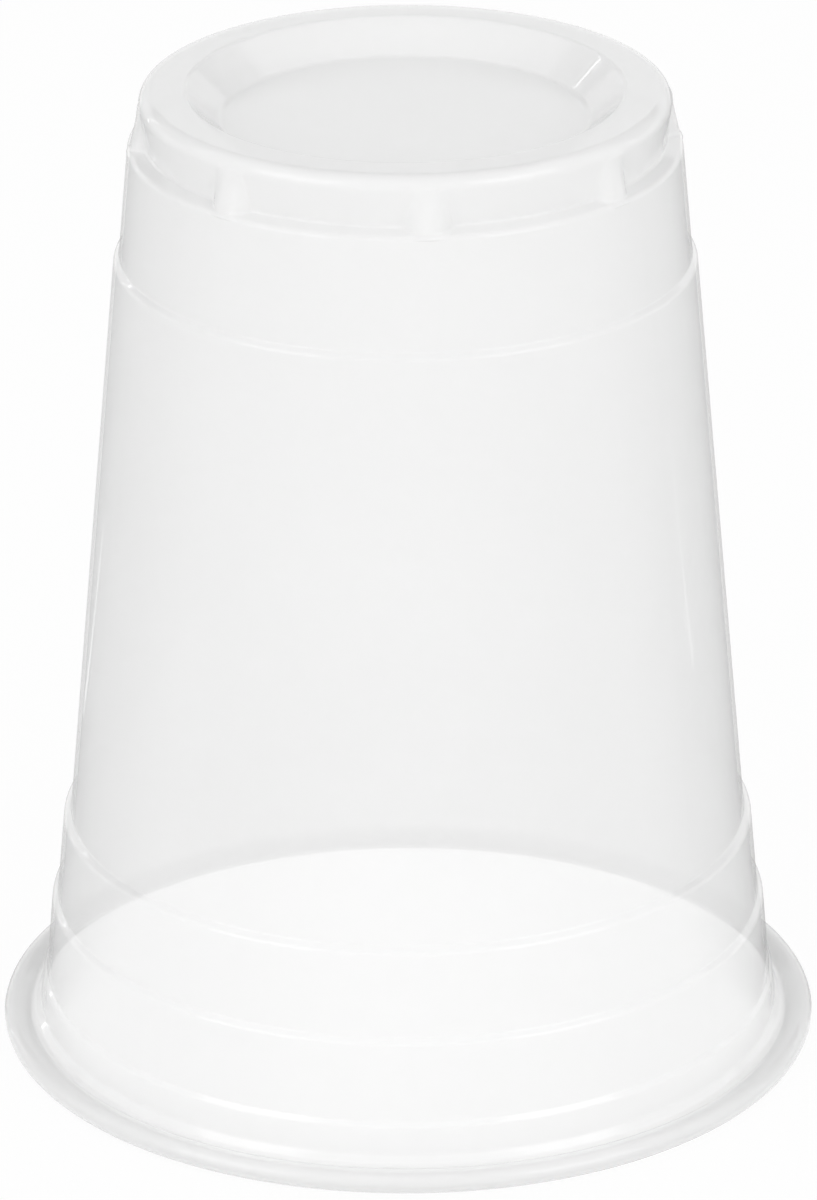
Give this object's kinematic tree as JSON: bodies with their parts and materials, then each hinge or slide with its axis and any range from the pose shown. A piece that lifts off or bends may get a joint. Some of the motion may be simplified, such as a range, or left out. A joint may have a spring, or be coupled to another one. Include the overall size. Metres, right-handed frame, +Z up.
{
  "type": "plastic party cup",
  "caption": "Thin-walled tapered plastic cup, upside down on its curled rim, with a stepped wall, a heel ringed by stacking lugs and a sunk base panel; holds a cold drink.",
  "frame": {"origin": "centre of the circle that the rim rests on, at the level of the rim's resting land", "axes": "+Z up along the cup's axis, from the rim to the base; -Y is the side that the picture shows"},
  "size_m": [0.098, 0.098, 0.1188],
  "materials": {
    "milky_plastic": "milky see-through polypropylene, glossy outside"
  },
  "bodies": {
    "root": {"cup": "milky_plastic"}
  },
  "joints": []
}
